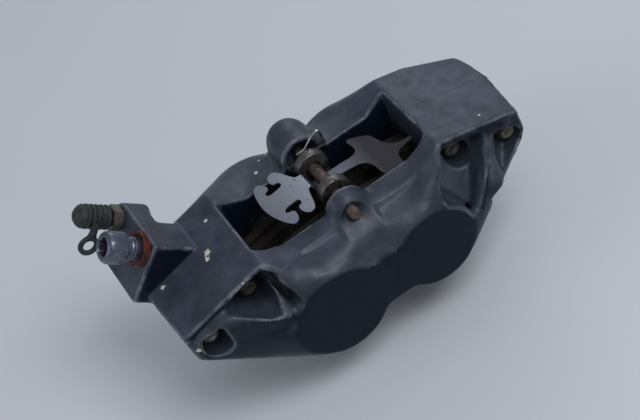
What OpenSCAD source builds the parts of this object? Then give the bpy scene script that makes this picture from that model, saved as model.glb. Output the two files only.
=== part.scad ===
// Four-piston brake caliper, two bolted halves, axial mount.
// X runs along the disc's rim, Y along the disc's axle, Z away from the axle.
// The origin is on the disc's middle plane, in the centre of the window, level
// with the flat top of the two bridges. The outer half is on the -Y side.

/* [Window and slot] */
// Length of the window along X
window_l = 82; // [78:1:96]
// Width of the window along Y
window_w = 32.4; // [30:0.2:38]
// Width of the slot that the disc runs in
slot_w = 8; // [7.4:0.2:10]
// Outer diameter of the disc
disc_d = 320; // [300:5:330]
// Depth of the disc's rim below the bridge tops, at the middle
disc_drop = 17.2; // [16.6:0.2:19]
// Thickness of the disc
disc_t = 5; // [4:0.5:5.5]
// Air between the disc's rim and the bridges
rim_clear = 2; // [1.5:0.5:3]

/* [Pistons] */
// Diameter of the larger pistons
piston_d_large = 34; // [30:1:35]
// Diameter of the smaller pistons
piston_d_small = 30; // [26:1:32]
// Distance between the two piston axes
piston_pitch = 45.6; // [44:0.2:48]
// Depth of the piston axes below the bridge tops
piston_drop = 35.7; // [35:0.1:38]
// Length of a piston
piston_l = 17; // [14:0.5:18]
// Wall between a bore and the outside of its bulge
bulge_wall = 5; // [4.5:0.1:6]

/* [Halves] */
// Reach of the outer half's face from the disc's middle plane
outer_face = 39.1; // [38:0.1:42]
// Reach of the inner half's face from the disc's middle plane
inner_face = 45; // [41:0.5:48]
// Reach of the outer half's bridge edge
outer_edge = 26; // [24:0.5:28]
// Reach of the inner half's bridge edge
inner_edge = 25; // [24:0.5:28]
// Reach of the long end, at the fittings
long_end = 84; // [82:0.5:92]
// Reach of the short end
short_end = 80; // [78:0.5:90]
// Slope of the bridge ends, in degrees
end_slope = 14.9; // [12:0.1:17]
// Height of the upright faces at both ends
end_h = 13; // [11:0.5:14]

/* [Bolts] */
// Thread diameter of the bolts that join the halves
bolt_d = 8; // [7:0.5:8]
// Reach of the end bolts from the middle
end_bolt_x = 72.4; // [71:0.2:74]
// Reach of the bolts beside the window from the middle
near_bolt_x = 49.6; // [49:0.2:52]
// Depth of the end bolts below the bridge tops
end_bolt_drop = 21; // [20:0.2:22]
// Depth of the bolts beside the window
near_bolt_drop = 16.2; // [15:0.2:17]

/* [Pads] */
// Thickness of a pad's steel plate
plate_t = 4.4; // [3.5:0.1:4.6]
// Thickness of a pad's friction lining
lining_t = 4.6; // [3:0.2:4.8]
// Air between the disc and each lining
pad_air = 0.3; // [0.2:0.1:0.5]
// Diameter of the pin that the pads hang on
pin_d = 5; // [4:0.5:6]
// Depth of the pin's axis below the bridge tops
pin_drop = 5.5; // [5:0.1:6.5]
// Thickness of the leaf spring
spring_t = 0.6; // [0.4:0.1:0.8]

/* [Fittings] */
// Distance between the hose bolt and the bleed screw, along Y
fitting_pitch = 22.3; // [20:0.1:24]
// Thread diameter of the hose bolt
port_d = 10; // [8:1:10]
// Thread diameter of the bleed screw
bleed_d = 8; // [6:1:8]
// Outer diameter of the copper washers
washer_d = 14.4; // [13:0.2:15]

/* [Mounting] */
// Distance between the two mounting holes
mount_pitch = 40; // [36:1:44]
// Drilled diameter of the mounting threads
mount_d = 8.8; // [8:0.2:9]
// Depth of the mounting holes below the bridge tops
mount_drop = 65; // [63:0.5:68]
// Thickness of the mounting ears
ear_t = 12; // [10:1:16]
// Reach of the mounting face from the disc's middle plane
ear_face = 17; // [17:0.5:19]

/* [Fits] */
// Radial clearance of the pistons, pads' pin and other close fits
fit = 0.05; // [0.02:0.01:0.08]
// Clearance between pieces that only pass each other
gap = 0.3; // [0.3:0.05:0.5]

/* [Hidden] */
$fn = 64;
hull_fn = 32;
far = 200;

wx = window_l / 2;
wy = window_w / 2;
flat_x = wx + 2;

large_x = -1 - piston_pitch / 2;
small_x = -1 + piston_pitch / 2;
large_r = piston_d_large / 2;
small_r = piston_d_small / 2;
large_bulge = large_r + bulge_wall;
small_bulge = small_r + bulge_wall - 0.4;
rim_round = 1.6;

disc_r = disc_d / 2;
disc_z = -disc_drop - disc_r;
roof_r = disc_r + rim_clear;

lining_y = disc_t / 2 + pad_air;
plate_y = lining_y + lining_t;
pad_back = plate_y + plate_t;
piston_gap = 0.1;
piston_y = pad_back + piston_gap;
bore_end = wy + piston_l + 1.5;
crown_t = 4;
piston_wall = 3.2;

dust_y = wy + 1.4;
dust_w = 2;
dust_depth = 1.6;
seal_y = dust_y + dust_w + 1.6;
seal_w = 2.8;
seal_depth = 2.4;

wall_top = -6.5;
boss_r = 9;
boss_z = -7.7;
boss_end = wy + 5.3;
dome_r = 10;
dome_end = 37;
pin_tip = 27.4;
hump_end = 26;

socket_head_r = bolt_d * 0.8;
tip_out = 3.6;
end_floor = 17;
near_floor = 14;
end_seat = 10.5;
near_seat = 14;

lip = 4.5;
rib_t = 3.4;
floor_y = 14;
left_floor_drop = 7;
left_floor_slope = 1.15;
right_floor_drop = 9;
right_floor_slope = 0.75;
corner_floor_slope = 0.5;
rib_slope = 0.65;

seat_x = -75.5;
seat_z = 5.6;
hose_y = 13;
bleed_y = hose_y + fitting_pitch;
bleed_boss_r = 6.3;
arm_top = 6.3;
arm_low = -21;
arm_near = 5;
arm_mid = 24;

washer_t = 1.5;
hose_bolt_gap = 6;
hose_head_l = 8.8;
hose_head_r = 6.6;

// An outline in X and Z, as a wall from one Y to another
module upright(points, y0, y1)
    translate([0, max(y0, y1), 0])
        rotate([90, 0, 0])
            linear_extrude(abs(y1 - y0)) polygon(points);

// A rod along Y, from one Y to another
module rod_y(x, z, r, y0, y1)
    translate([x, max(y0, y1), z])
        rotate([90, 0, 0])
            cylinder(r = r, h = abs(y1 - y0));

// A cone along Y, from radius r0 at y0 to radius r1 at y1
module cone_y(x, z, r0, r1, y0, y1)
    translate([x, y0, z])
        rotate([y1 < y0 ? 90 : -90, 0, 0])
            cylinder(r1 = r0, r2 = r1, h = abs(y1 - y0));

// A ring along Y, with a square section
module ring_y(x, z, r_in, r_out, y0, y1)
    translate([x, max(y0, y1), z])
        rotate([90, 0, 0])
            rotate_extrude()
                translate([r_in, 0]) square([r_out - r_in, abs(y1 - y0)]);

// Puts a shape built along +Z onto the fittings' slanted face, at reach y
module on_seat(y)
    translate([seat_x, y, seat_z])
        rotate([0, -45, 0]) children();

function slope_z(x) = -max(0, abs(x) - flat_x) * tan(end_slope);

// One end of a half: its outline at reach y, with an upright face of height h
module end_slice(dir, y, reach, low_reach, h)
    upright([[dir * wx, 0], [dir * flat_x, 0], [dir * reach, slope_z(reach)],
        [dir * low_reach, slope_z(reach) - h], [dir * wx, -piston_drop - 8]], y - 0.1, y + 0.1);

// A piston bulge's solid, from the joint plane to a rounded rim at the face
module bulge_rim(side, x, r, face) {
    rod_y(x, -piston_drop, r, side * slot_w / 2, side * (face - rim_round));
    rod_y(x, -piston_drop, r - rim_round, side * (face - 0.2), side * face);
    rod_y(x, -piston_drop, r - 0.35 * rim_round, side * (face - 0.55 * rim_round), side * (face - 0.4));
}

// The solid casting of one half, before anything is cut. ends holds the short end's
// corners: reach along Y, and reach along X there.
module casting(side, face, edge, r_large, r_small, ends) {
    hull($fn = hull_fn) {
        bulge_rim(side, large_x, r_large, face);
        end_slice(-1, 0.1 * side, long_end, long_end - 1.7, end_h + 3);
        end_slice(-1, side * (edge - 0.1), long_end - 1.5, long_end - 2.5, end_h + 2.5);
    }
    hull($fn = hull_fn) {
        bulge_rim(side, small_x, r_small, face);
        end_slice(1, 0.1 * side, short_end, short_end - 1.5, end_h + 4);
        for (e = ends) end_slice(1, side * e[0], e[1], e[1] - 1.6, end_h + 3);
    }
    mound(side, large_x, r_large, face, edge, -32, 8);
    mound(side, small_x, r_small, face, edge, -8, 32);
    saddle(side, face);
    rod_y(0, boss_z, boss_r, side * slot_w / 2, side * boss_end);
}

// The slope from the window's wall to the rim of a bulge
module mound(side, x, r, face, edge, x0, x1)
    hull($fn = hull_fn) {
        bulge_rim(side, x, r, face);
        upright([[x0, wall_top], [x1, wall_top], [x1, -piston_drop], [x0, -piston_drop]],
            side * (wy - 6), side * (wy + 0.5));
        upright([[x0, wall_top - 2], [x1, wall_top - 2], [x1, -piston_drop], [x0, -piston_drop]],
            side * (wy - 6), side * edge);
    }

// The web between the two bulges, sloping up to the window's wall
module saddle(side, face) {
    web_x = 8;
    web_top = -22.6;
    web_low = -48.5;
    hull() {
        upright([[-web_x, web_low], [web_x, web_low], [web_x, web_top], [-web_x, web_top]],
            side * wy, side * (face - 0.4));
        upright([[-32, wall_top - 0.4], [32, wall_top - 0.4], [web_x, web_low], [-web_x, web_low]],
            side * wy, side * (wy + 0.5));
    }
}

// Everything that both halves have cut out of them
module common_cuts(side) {
    translate([-wx, -wy, -far / 2]) cube([window_l, window_w, far]);
    rod_y(0, disc_z, roof_r, -slot_w / 2, slot_w / 2, $fn = 256);
    piston_bore(side, large_x, large_r);
    piston_bore(side, small_x, small_r);
    rod_y(0, -pin_drop, pin_d / 2 + fit, side * (wy - 1), side * (pin_tip + 1));
    for (dir = [-1, 1]) {
        rod_y(dir * end_bolt_x, -end_bolt_drop, bolt_d / 2 + fit, -far / 2, far / 2);
        rod_y(dir * near_bolt_x, -near_bolt_drop, bolt_d / 2 + fit, -far / 2, far / 2);
        crossover(side, dir);
    }
    gallery(side);
}

module piston_bore(side, x, r) {
    rod_y(x, -piston_drop, r + fit, side * (wy - 1), side * bore_end);
    rod_y(x, -piston_drop, r + dust_depth, side * dust_y, side * (dust_y + dust_w));
    rod_y(x, -piston_drop, r + seal_depth, side * seal_y, side * (seal_y + seal_w));
}

crossover_x = 61;
crossover_z = -14.5;
ring_r = 3.4;
ring_t = 1.8;

// The fluid port that crosses the joint between the halves
module crossover(side, dir) {
    rod_y(dir * crossover_x, crossover_z, 1.75, -0.5 * side, side * 9);
    if (side > 0) rod_y(dir * crossover_x, crossover_z, ring_r + fit, -1, ring_t);
}

plug_r = 3;
plug_l = 6;
gallery_y = bore_end - 3;

// The drilled gallery that joins the two bores behind the pistons, open at the small end
module gallery(side) {
    translate([large_x, side * gallery_y, -piston_drop])
        rotate([0, 90, 0]) cylinder(r = 1.75, h = small_x + small_r + bulge_wall * 2 - large_x);
    translate([small_x + small_r + 0.6, side * gallery_y, -piston_drop])
        rotate([0, 90, 0]) cylinder(r = plug_r + fit, h = far / 4);
}

// A side pocket's hollow: an outline in X and Z, cut down to a floor that starts at reach
// y and depth drop, and slopes outwards below that
module pocket(points, y, drop, slope)
    intersection() {
        upright(points, -far / 2, 0);
        translate([-far / 2, 0, 0])
            rotate([90, 0, 90])
                linear_extrude(far)
                    polygon([[-y, 9], [-y, -drop], [-y - far * slope / 4, -drop - far / 4],
                        [-far, -drop - far / 4], [-far, 9]]);
    }

module outer_pockets() {
    rib_top = [61, slope_z(61) - lip];
    rib_run = [-16, -23.7];
    rib_low = rib_top + rib_run;
    beyond = long_end + 9;
    difference() {
        union() {
            // Beyond the bridge edges, outside the two ridges
            pocket([[-flat_x, 9], [-flat_x, 0], [-36.1, -17.2], [-beyond, -16.5], [-beyond, 9]],
                outer_edge, far / 2, 0);
            pocket([[flat_x, 9], [flat_x, 0], [31.8, -19.4], [38, -60], [beyond, -60], [beyond, 9]],
                outer_edge, right_floor_drop, rib_slope);
            // Left pocket
            pocket([[-flat_x - 0.5, -lip], [-beyond, slope_z(beyond) - lip], [-beyond, -60], [-30, -60],
                [-36, -17.5]], floor_y, left_floor_drop, left_floor_slope);
            // Right pocket, in two parts beside the rib
            pocket([[flat_x - 0.5, -lip], rib_top, rib_low, [38, rib_low[1]], [31.8, -19.4]],
                floor_y, right_floor_drop, right_floor_slope);
            pocket([rib_top + [rib_t, 0], [75, slope_z(75) - lip], [75.4, -17], [74.6, -22.5], [70, -26.5],
                [60, -31.5], [53, -28.5]], floor_y, right_floor_drop, corner_floor_slope);
        }
        rod_y(large_x, -piston_drop, large_bulge - 0.1, -wy, -outer_face);
        rod_y(small_x, -piston_drop, small_bulge - 0.1, -wy, -outer_face);
    }
    for (dir = [-1, 1]) rod_y(dir * near_bolt_x, -near_bolt_drop, 5.6, -near_floor, -outer_edge);
    rod_y(-end_bolt_x + 1.2, -end_bolt_drop, 6.2, -end_floor, -outer_edge - 3);
    rod_y(end_bolt_x - 0.8, 0.6 - end_bolt_drop, 5.2, -end_floor, -outer_edge + 1);
    // Hollow below the hump, and the recess around the tip of the pad pin
    rod_y(1.5, -4.5, 7.2, -hump_end - 0.1, -far / 2);
    rod_y(0, -pin_drop, 4.1, -hump_end + 2.4, -far / 2);
}

module outer_half()
    color("dimgray")
        difference() {
            union() {
                casting(-1, outer_face, outer_edge, large_bulge, small_bulge,
                    [[12, short_end - 1.2], [outer_edge - 0.1, short_end - 2.6]]);
                cone_y(0, boss_z + 0.6, boss_r - 0.4, boss_r - 3.4, -boss_end + 0.4, -hump_end);
            }
            translate([-far, 0, -far]) cube(2 * far);
            outer_pockets();
            common_cuts(-1);
        }

// The block that carries the hose bolt and the bleed screw
module arm()
    intersection() {
        union() {
            arm_block([[arm_low, 0], [arm_top, 0], [arm_top, -34], [arm_low, -34]], arm_near, arm_mid);
            arm_block([[arm_low, 0], [arm_top, 0], [arm_top, -9.5], [-4, -20], [arm_low, -20]],
                arm_mid - 1, bleed_y);
            on_seat(bleed_y) translate([0, 0, -11.5]) cylinder(r = bleed_boss_r, h = 11.5);
        }
        translate([-far, 0, -34]) cube([far + large_x, far, far]);
    }

// An outline in the fittings' own plane (up the slanted face, out of it), from y0 to y1
module arm_block(points, y0, y1)
    on_seat(y1)
        rotate([90, 0, 0]) linear_extrude(y1 - y0) polygon(points);

module ears() {
    for (dir = [-1, 1])
        rod_y(small_x + dir * mount_pitch / 2, -mount_drop, 9.5, ear_face, ear_face + ear_t);
    hull($fn = hull_fn) {
        for (dir = [-1, 1])
            rod_y(small_x + dir * mount_pitch / 2, -mount_drop, 9.5, ear_face + 0.6, ear_face + ear_t);
        rod_y(small_x, -piston_drop, small_bulge, ear_face + 0.6, ear_face + ear_t);
    }
}

module inner_half()
    color("dimgray")
        difference() {
            union() {
                intersection() {
                    casting(1, inner_face, inner_edge, large_bulge + 0.8, small_bulge + 0.8,
                        [[12, short_end - 1.4], [18.5, short_end - 3.3], [inner_edge - 0.1, 56]]);
                    translate([-far, 0, -far]) cube(2 * far);
                }
                rod_y(0, -pin_drop, dome_r, wy, dome_end - 3);
                cone_y(0, -pin_drop, dome_r, dome_r - 3, dome_end - 3, dome_end);
                arm();
                ears();
            }
            common_cuts(1);
            // Cavity of the pin boss, open to the window
            rod_y(0, -pin_drop + 0.6, dome_r - 3, 0, wy + 5);
            for (dir = [-1, 1]) {
                rod_y(dir * end_bolt_x, -end_bolt_drop, socket_head_r + gap, end_seat, far / 4);
                rod_y(dir * near_bolt_x, -near_bolt_drop, socket_head_r + gap, near_seat, far / 4);
                rod_y(small_x + dir * mount_pitch / 2, -mount_drop, mount_d / 2, 0, far / 4);
            }
            on_seat(hose_y) translate([0, 0, -16]) cylinder(r = port_d / 2 + fit, h = 30);
            on_seat(hose_y) translate([0, 0, -24]) cylinder(r = 1.75, h = 10);
            on_seat(bleed_y) translate([0, 0, -10]) cylinder(r = bleed_d / 2 + fit, h = 30);
            // Passage between the two ports
            on_seat(bleed_y) translate([0, 0, -9]) rotate([90, 0, 0]) cylinder(r = 1.4, h = fitting_pitch);
        }

// A socket-head bolt along Y: head seat at y_seat, tip at y_tip
module socket_bolt(x, z, y_seat, y_tip) {
    chamfer = 0.8;
    difference() {
        union() {
            rod_y(x, z, bolt_d / 2, y_tip + chamfer, y_seat + 1);
            cone_y(x, z, bolt_d / 2, bolt_d / 2 - chamfer, y_tip + chamfer, y_tip);
            rod_y(x, z, socket_head_r, y_seat, y_seat + bolt_d);
        }
        rod_y(x, z, bolt_d * 0.43, y_seat + bolt_d * 0.45, y_seat + bolt_d + 1, $fn = 6);
    }
}

module end_bolts()
    color("slategray")
        for (dir = [-1, 1])
            socket_bolt(dir * end_bolt_x, -end_bolt_drop, end_seat, -end_floor - tip_out);

module near_bolts()
    color("slategray")
        for (dir = [-1, 1])
            socket_bolt(dir * near_bolt_x, -near_bolt_drop, near_seat, -near_floor - tip_out);

// A piston, open towards the pads
module piston(side, x, r)
    difference() {
        rod_y(x, -piston_drop, r, side * piston_y, side * (piston_y + piston_l));
        rod_y(x, -piston_drop, r - piston_wall, side * (piston_y - 1), side * (piston_y + piston_l - crown_t));
    }

module outer_piston_large() color("silver") piston(-1, large_x, large_r);
module outer_piston_small() color("silver") piston(-1, small_x, small_r);
module inner_piston_large() color("silver") piston(1, large_x, large_r);
module inner_piston_small() color("silver") piston(1, small_x, small_r);

module seal_pair(side, y, w, depth)
    for (p = [[large_x, large_r], [small_x, small_r]])
        ring_y(p[0], -piston_drop, p[1] + fit, p[1] + depth - fit, side * (y + fit), side * (y + w - fit));

module outer_pressure_seals() color("black") seal_pair(-1, seal_y, seal_w, seal_depth);
module inner_pressure_seals() color("black") seal_pair(1, seal_y, seal_w, seal_depth);
module outer_dust_seals() color("black") seal_pair(-1, dust_y, dust_w, dust_depth);
module inner_dust_seals() color("black") seal_pair(1, dust_y, dust_w, dust_depth);

module crossover_rings()
    color("black")
        for (dir = [-1, 1])
            translate([dir * crossover_x, ring_t / 2, crossover_z])
                rotate([90, 0, 0])
                    rotate_extrude()
                        translate([ring_r - ring_t / 2, 0]) circle(r = ring_t / 2 - 0.02, $fn = 24);

module gallery_plugs()
    color("slategray")
        for (side = [-1, 1])
            translate([small_x + small_r + 0.6, side * gallery_y, -piston_drop])
                rotate([0, 90, 0])
                    difference() {
                        cylinder(r = plug_r, h = bulge_wall - 1.4);
                        translate([0, 0, 1.4]) cylinder(r = 1.5, h = plug_l, $fn = 6);
                    }

pad_end = wx - gap;
pad_top = -disc_drop + 1.5;
pad_low = -piston_drop - large_r - 3;
ring_ear_r = 7;

// The outline of a pad's plate, in X and Z
module plate_outline() {
    difference() {
        union() {
            intersection() {
                translate([0, disc_z]) circle(r = disc_r + 1.5, $fn = 256);
                translate([-pad_end, pad_low]) square([2 * pad_end, pad_top - pad_low + 2]);
            }
            translate([-ring_ear_r + 1, pad_top - 4]) square([2 * ring_ear_r - 2, -pin_drop - pad_top + 4]);
            translate([0, -pin_drop]) circle(r = ring_ear_r);
        }
        translate([0, -pin_drop]) circle(r = pin_d / 2 + gap);
        translate([0, disc_z]) circle(r = disc_r - 2 * large_r - 6, $fn = 256);
        for (dir = [-1, 1])
            translate([dir * pad_end, pad_low]) rotate(45) square(12, center = true);
    }
}

// The friction lining, split by a slot in the middle
module lining_outline() {
    difference() {
        intersection() {
            translate([0, disc_z]) circle(r = disc_r - 0.5, $fn = 256);
            translate([-pad_end + 1.5, pad_low + 2]) square([2 * pad_end - 3, pad_top - pad_low]);
        }
        translate([0, disc_z]) circle(r = disc_r - 2 * large_r - 4, $fn = 256);
        translate([-1, pad_low]) square([2, far]);
        for (dir = [-1, 1])
            translate([dir * pad_end, pad_low]) rotate(45) square(15, center = true);
    }
}

module flat_y(y0, y1)
    translate([0, max(y0, y1), 0]) rotate([90, 0, 0]) linear_extrude(abs(y1 - y0)) children();

module outer_pad_plate() color("sienna") flat_y(-plate_y, -pad_back) plate_outline();
module inner_pad_plate() color("sienna") flat_y(plate_y, pad_back) plate_outline();
module outer_pad_lining() color("darkslategray") flat_y(-lining_y, -plate_y) lining_outline();
module inner_pad_lining() color("darkslategray") flat_y(lining_y, plate_y) lining_outline();

clip_y = wy - 0.7;
clip_wire = 0.6;

module pad_pin()
    color("rosybrown")
        difference() {
            union() {
                rod_y(0, -pin_drop, pin_d / 2, -pin_tip + 0.6, pin_tip);
                cone_y(0, -pin_drop, pin_d / 2, pin_d / 2 - 0.6, -pin_tip + 0.6, -pin_tip);
            }
            translate([-far / 2, clip_y, -pin_drop])
                rotate([0, 90, 0]) cylinder(r = clip_wire + 0.25, h = far);
        }

// The wire clip's bends in X and Z: a straight leg through the pin, and a leg over it
clip_path = [[-6.5, -pin_drop - 0.2], [10.6, -pin_drop + 0.3], [10, 3.6], [6, 1.9], [1.6, -1.9],
    [-2.2, -1.9]];

module pin_clip()
    color("lightgray")
        for (i = [0 : len(clip_path) - 2]) {
            a = clip_path[i];
            d = clip_path[i + 1] - a;
            translate([a[0], clip_y + 0.04 * i, a[1]])
                rotate([0, atan2(d[0], d[1]), 0])
                    cylinder(r = clip_wire - i * 0.015, h = norm(d) + 0.3, $fn = 24);
        }

neck_w = 7.6;
neck_x = 4;
spring_yaw = 7;
spring_z = -pin_drop - pin_d / 2 - 0.06 - spring_t;
head_x = -6.2;
head_z = -1;
head_l = 22;
head_r = 25;
head_side = 12.4;
lobe_r = 3.2;
slot_u = -12.6;

// The raised head of the leaf spring, from its bend at x = 0 towards -X: a round end, and two
// lobes with a hooked slot between them on each side
module spring_head() {
    difference() {
        union() {
            intersection() {
                translate([-head_l + head_r, 0]) circle(r = head_r);
                translate([-head_l - 1, -head_side]) square([9, 2 * head_side]);
            }
            for (s = [-1, 1]) {
                translate([-head_l + 5.1, s * head_side]) circle(r = 2.4);
                translate([-head_l + 12, s * head_side]) circle(r = lobe_r);
            }
            translate([-head_l + 6, -head_side]) square([6, 2 * head_side]);
            polygon([[0, -4.2], [0, 4.2], [-2.6, 4.8], [-5, 7.2], [-7.4, head_side], [-11, head_side],
                [-11, -head_side], [-7.4, -head_side], [-5, -7.2], [-2.6, -4.8]]);
        }
        for (s = [-1, 1]) {
            translate([slot_u - 0.6, s * 12]) rotate(s * 6) square([1.5, 10], center = true);
            translate([slot_u, s * 6.9]) rotate(s * 6) square([7.6, 2.1], center = true);
        }
    }
}

// The spring's low end: a waist with two arms to each side
module spring_tail() {
    difference() {
        translate([-0.5, -14.5]) square([wx - neck_x - 0.5, 29]);
        for (s = [-1, 1]) {
            translate([0.5, s * 16.2]) circle(r = 13.2);
            translate([6.5, s * (4 + 20)]) square([14, 40], center = true);
            translate([26.6, s * 15.2]) circle(r = 10.2);
            translate([30, s * (8.6 + 10)]) square([12, 20], center = true);
        }
        translate([wx - neck_x + 2, 0]) circle(r = 7);
    }
}

module pad_spring()
    color("gainsboro") {
        rise = head_z - spring_z;
        run = -neck_x - head_x;
        translate([-neck_x - 0.2, -neck_w / 2, spring_z]) cube([2 * neck_x + 0.4, neck_w, spring_t]);
        translate([-neck_x, -neck_w / 2, spring_z])
            rotate([0, atan2(rise, run), 0])
                translate([-norm([rise, run]) - 0.3, 0, 0]) cube([norm([rise, run]) + 0.3, neck_w, spring_t]);
        translate([head_x + 0.4, 0, head_z]) rotate(spring_yaw)
            linear_extrude(spring_t) spring_head();
        translate([neck_x, 0, spring_z]) linear_extrude(spring_t) spring_tail();
    }

// The hollow bolt that holds the hose, backed out by the thickness of a hose fitting
module hose_bolt()
    color("lightsteelblue")
        on_seat(hose_y)
            difference() {
                base = 2 * washer_t + hose_bolt_gap;
                union() {
                    translate([0, 0, -9]) cylinder(r = port_d / 2, h = base + 10);
                    translate([0, 0, base]) cylinder(r = hose_head_r, h = hose_head_l - 2);
                    translate([0, 0, base + hose_head_l - 2])
                        cylinder(r1 = hose_head_r, r2 = hose_head_r - 1.6, h = 2);
                }
                translate([0, 0, base + 1.5]) cylinder(r = 3.9, h = 20);
                translate([0, 0, -10]) cylinder(r = 1.6, h = base + 6);
            }

module copper_washers()
    color("peru")
        on_seat(hose_y)
            for (i = [0, 1])
                translate([0, 0, i * washer_t])
                    difference() {
                        cylinder(r = washer_d / 2, h = washer_t - i * 0.02);
                        translate([0, 0, -1]) cylinder(r = port_d / 2 + fit, h = washer_t + 2);
                    }

bleed_hex_l = 5;
nipple_r = 3;
nipple_l = 9.5;

module bleed_screw()
    color("darkgray")
        on_seat(bleed_y)
            difference() {
                union() {
                    translate([0, 0, -7]) cylinder(r = bleed_d / 2, h = 8);
                    translate([0, 0, -9.5]) cylinder(r1 = 1.4, r2 = bleed_d / 2 - 0.6, h = 2.6);
                    translate([0, 0, 0.4]) cylinder(r = 5.5, h = bleed_hex_l, $fn = 6);
                    translate([0, 0, bleed_hex_l]) cylinder(r = nipple_r, h = nipple_l - 2);
                    translate([0, 0, bleed_hex_l + nipple_l - 4]) cylinder(r1 = 3.5, r2 = 2.6, h = 4);
                    translate([0, 0, bleed_hex_l + nipple_l - 6]) cylinder(r1 = 3, r2 = 3.5, h = 2);
                }
                translate([0, 0, -5.5]) cylinder(r = 0.9, h = 40);
                translate([-6, 0, -4.6]) rotate([0, 90, 0]) cylinder(r = 0.9, h = 12);
            }

cap_l = 14.8;
cap_r = 5.2;
cap_base = bleed_hex_l + 0.7;

module bleed_cap()
    color("dimgray")
        on_seat(bleed_y)
            difference() {
                union() {
                    translate([0, 0, cap_base]) cylinder(r = cap_r - 0.6, h = cap_l - 3);
                    for (z = [0, 2.6, 5.2, 7.8])
                        translate([0, 0, cap_base + z]) cylinder(r = cap_r, h = 1.8);
                    translate([0, 0, cap_base + cap_l - 4.5]) cylinder(r = cap_r, h = 2);
                    translate([0, 0, cap_base + cap_l - 2.5]) cylinder(r1 = cap_r, r2 = cap_r - 2.4, h = 2.5);
                    strap();
                }
                translate([0, 0, cap_base - 1]) cylinder(r = nipple_r + 0.56, h = nipple_l + 1.5);
            }

strap_w = 3.2;

// The rubber tail that hangs from the cap, with its ring
module strap() {
    translate([0, -cap_r + 1, cap_base + 7])
        rotate([90, 0, 0])
            linear_extrude(1.8) union() {
                translate([-8, -strap_w / 2]) square([8, strap_w]);
                difference() {
                    translate([-10.6, 0]) circle(r = 4.6);
                    translate([-10.6, 0]) circle(r = 2.4);
                }
            }
}

outer_half();
inner_half();
end_bolts();
near_bolts();
outer_piston_large();
outer_piston_small();
inner_piston_large();
inner_piston_small();
outer_pressure_seals();
inner_pressure_seals();
outer_dust_seals();
inner_dust_seals();
crossover_rings();
outer_pad_plate();
outer_pad_lining();
inner_pad_plate();
inner_pad_lining();
pad_pin();
pin_clip();
pad_spring();
hose_bolt();
copper_washers();
bleed_screw();
bleed_cap();
gallery_plugs();
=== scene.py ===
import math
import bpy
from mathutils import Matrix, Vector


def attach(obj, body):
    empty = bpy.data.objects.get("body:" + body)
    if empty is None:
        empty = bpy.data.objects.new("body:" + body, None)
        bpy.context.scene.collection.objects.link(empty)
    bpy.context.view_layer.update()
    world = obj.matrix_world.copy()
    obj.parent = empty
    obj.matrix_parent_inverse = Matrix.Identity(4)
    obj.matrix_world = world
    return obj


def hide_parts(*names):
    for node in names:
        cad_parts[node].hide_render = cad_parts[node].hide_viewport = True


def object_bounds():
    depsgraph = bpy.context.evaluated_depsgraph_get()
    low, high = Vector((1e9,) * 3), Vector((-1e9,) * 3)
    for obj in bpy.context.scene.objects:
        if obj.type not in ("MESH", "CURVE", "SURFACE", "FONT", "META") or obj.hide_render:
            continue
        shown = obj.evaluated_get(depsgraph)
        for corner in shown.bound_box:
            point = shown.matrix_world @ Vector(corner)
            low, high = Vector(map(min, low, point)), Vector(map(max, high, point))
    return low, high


bl_info = {
    "name": "Brake caliper",
    "version": (1, 0, 0),
    "blender": (4, 5, 0),
    "location": "View3D > Sidebar > Caliper",
    "description": "Builds the looks of a two-piece brake caliper round its fixed frame",
    "category": "Object",
}

import bmesh
import bpy
import numpy as np
from bpy.props import FloatProperty, FloatVectorProperty, IntProperty, PointerProperty
from mathutils import Matrix, Vector

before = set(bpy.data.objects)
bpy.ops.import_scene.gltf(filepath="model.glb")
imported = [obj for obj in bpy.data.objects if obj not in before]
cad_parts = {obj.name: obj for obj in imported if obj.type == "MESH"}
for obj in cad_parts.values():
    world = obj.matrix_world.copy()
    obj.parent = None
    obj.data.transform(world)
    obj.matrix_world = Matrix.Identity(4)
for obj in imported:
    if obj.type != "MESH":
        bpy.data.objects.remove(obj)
CAD_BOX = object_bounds()
MM = 0.001
FACE_LIMIT = 190000  # triangles in one casting, kept a little below the limit of a piece
HAIRLINE = 0.04  # gap of each casting to the joint, in millimetres
OVERRUN, OVERLAP = 1.8, 0.2  # how far a casting runs past the joint before it is cut, and its start
FLOOR_GAP = 0.2

# Places repeated from the part's source, in millimetres
PISTON_Z = -35.7
LARGE_X, SMALL_X = -23.8, 21.8
LARGE_BULGE, SMALL_BULGE = 22.0, 19.6
OUTER_FACE = 39.1
WINDOW_Y = 16.2
END_BOLTS = ((-72.4, -21.0), (72.4, -21.0))
NEAR_BOLTS = ((-49.6, -16.2), (49.6, -16.2))
END_SEAT, END_TIP = 10.5, -22.6
NEAR_SEAT, NEAR_TIP = 14.0, -17.6
PIN_Z, PIN_R, PIN_TIP = -5.5, 2.5, 27.4
CLIP_Y, CLIP_R = 15.5, 0.6
CLIP_PATH = ((-6.5, -5.7), (10.6, -5.2), (10.0, 3.6), (6.0, 1.9), (1.6, -1.9), (-2.2, -1.9))
SEAT_X, SEAT_Z = -75.5, 5.6
HOSE_Y, BLEED_Y = 13.0, 35.3
HEAD_X, HEAD_TOP, TAIL_TOP, HEAD_YAW = -5.8, -0.4, -8.06, 7.0
SHEET, EASE = 0.5, 0.26  # the spring's sheet and its eased edge

# The camera: its place in millimetres, the way it looks and its right-hand side, and its lens
CAMERA_PLACE = (-92.75, -459.61, 454.77)
CAMERA_AHEAD, CAMERA_RIGHT = (0.12888, 0.68982, -0.71242), (0.81883, -0.47927, -0.31593)
SENSOR, LENS = 36.0, 92.3

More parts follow.
